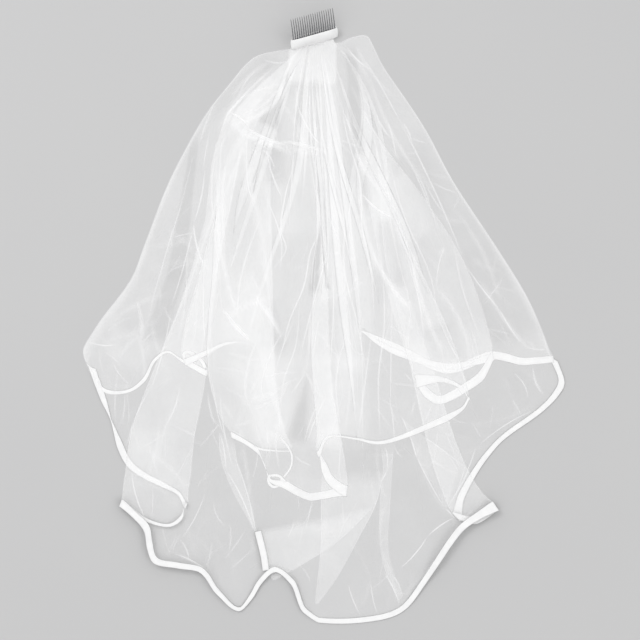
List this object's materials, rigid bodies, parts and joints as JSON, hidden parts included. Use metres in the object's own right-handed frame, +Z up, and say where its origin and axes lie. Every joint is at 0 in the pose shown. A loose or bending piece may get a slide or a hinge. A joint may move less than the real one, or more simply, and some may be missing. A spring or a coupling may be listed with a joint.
{
  "type": "bridal veil",
  "caption": "Two-tier bridal veil of sheer white net gathered on a hair comb, laid flat, with satin ribbon edges and fluted hems.",
  "frame": {"origin": "middle of the laid veil's box, on the surface it lies on", "axes": "+Y from the hem towards the comb, +X to the right seen from above, +Z up off the surface"},
  "size_m": [0.6586, 0.849, 0.0461],
  "materials": {
    "white_net": "sheer soft net",
    "white_satin": "satin",
    "clear_comb_plastic": "clear gloss"
  },
  "bodies": {
    "root": {"tulle_lower_tier": "white_net", "tulle_upper_tier": "white_net", "hem_ribbon_lower": "white_satin", "hem_ribbon_upper": "white_satin", "satin_band": "white_satin", "comb": "clear_comb_plastic"}
  },
  "joints": []
}
